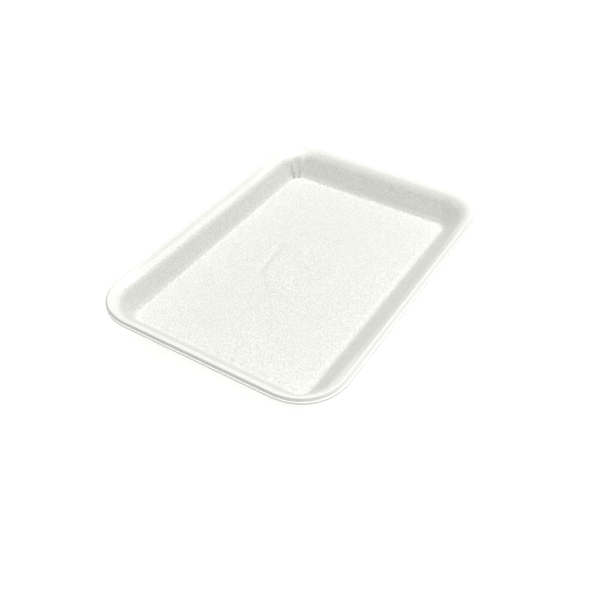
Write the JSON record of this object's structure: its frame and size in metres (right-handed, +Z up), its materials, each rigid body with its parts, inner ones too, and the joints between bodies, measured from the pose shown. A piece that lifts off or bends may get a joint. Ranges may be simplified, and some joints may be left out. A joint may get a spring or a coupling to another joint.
{
  "type": "foam meat tray",
  "caption": "Shallow rectangular food tray in white foam, with rounded corners, sloping walls, a beaded rim and a low panel in its floor.",
  "frame": {"origin": "centre of the rim's outline, on the surface that the tray stands on", "axes": "+Y along the tray towards its far end, +X across it, +Z up out of its open side"},
  "size_m": [0.148, 0.21, 0.0183],
  "materials": {
    "foam": "white expanded polystyrene foam sheet, thermoformed, with a fine pebbled skin and a soft sheen"
  },
  "bodies": {
    "root": {"foam_tray": "foam"}
  },
  "joints": []
}
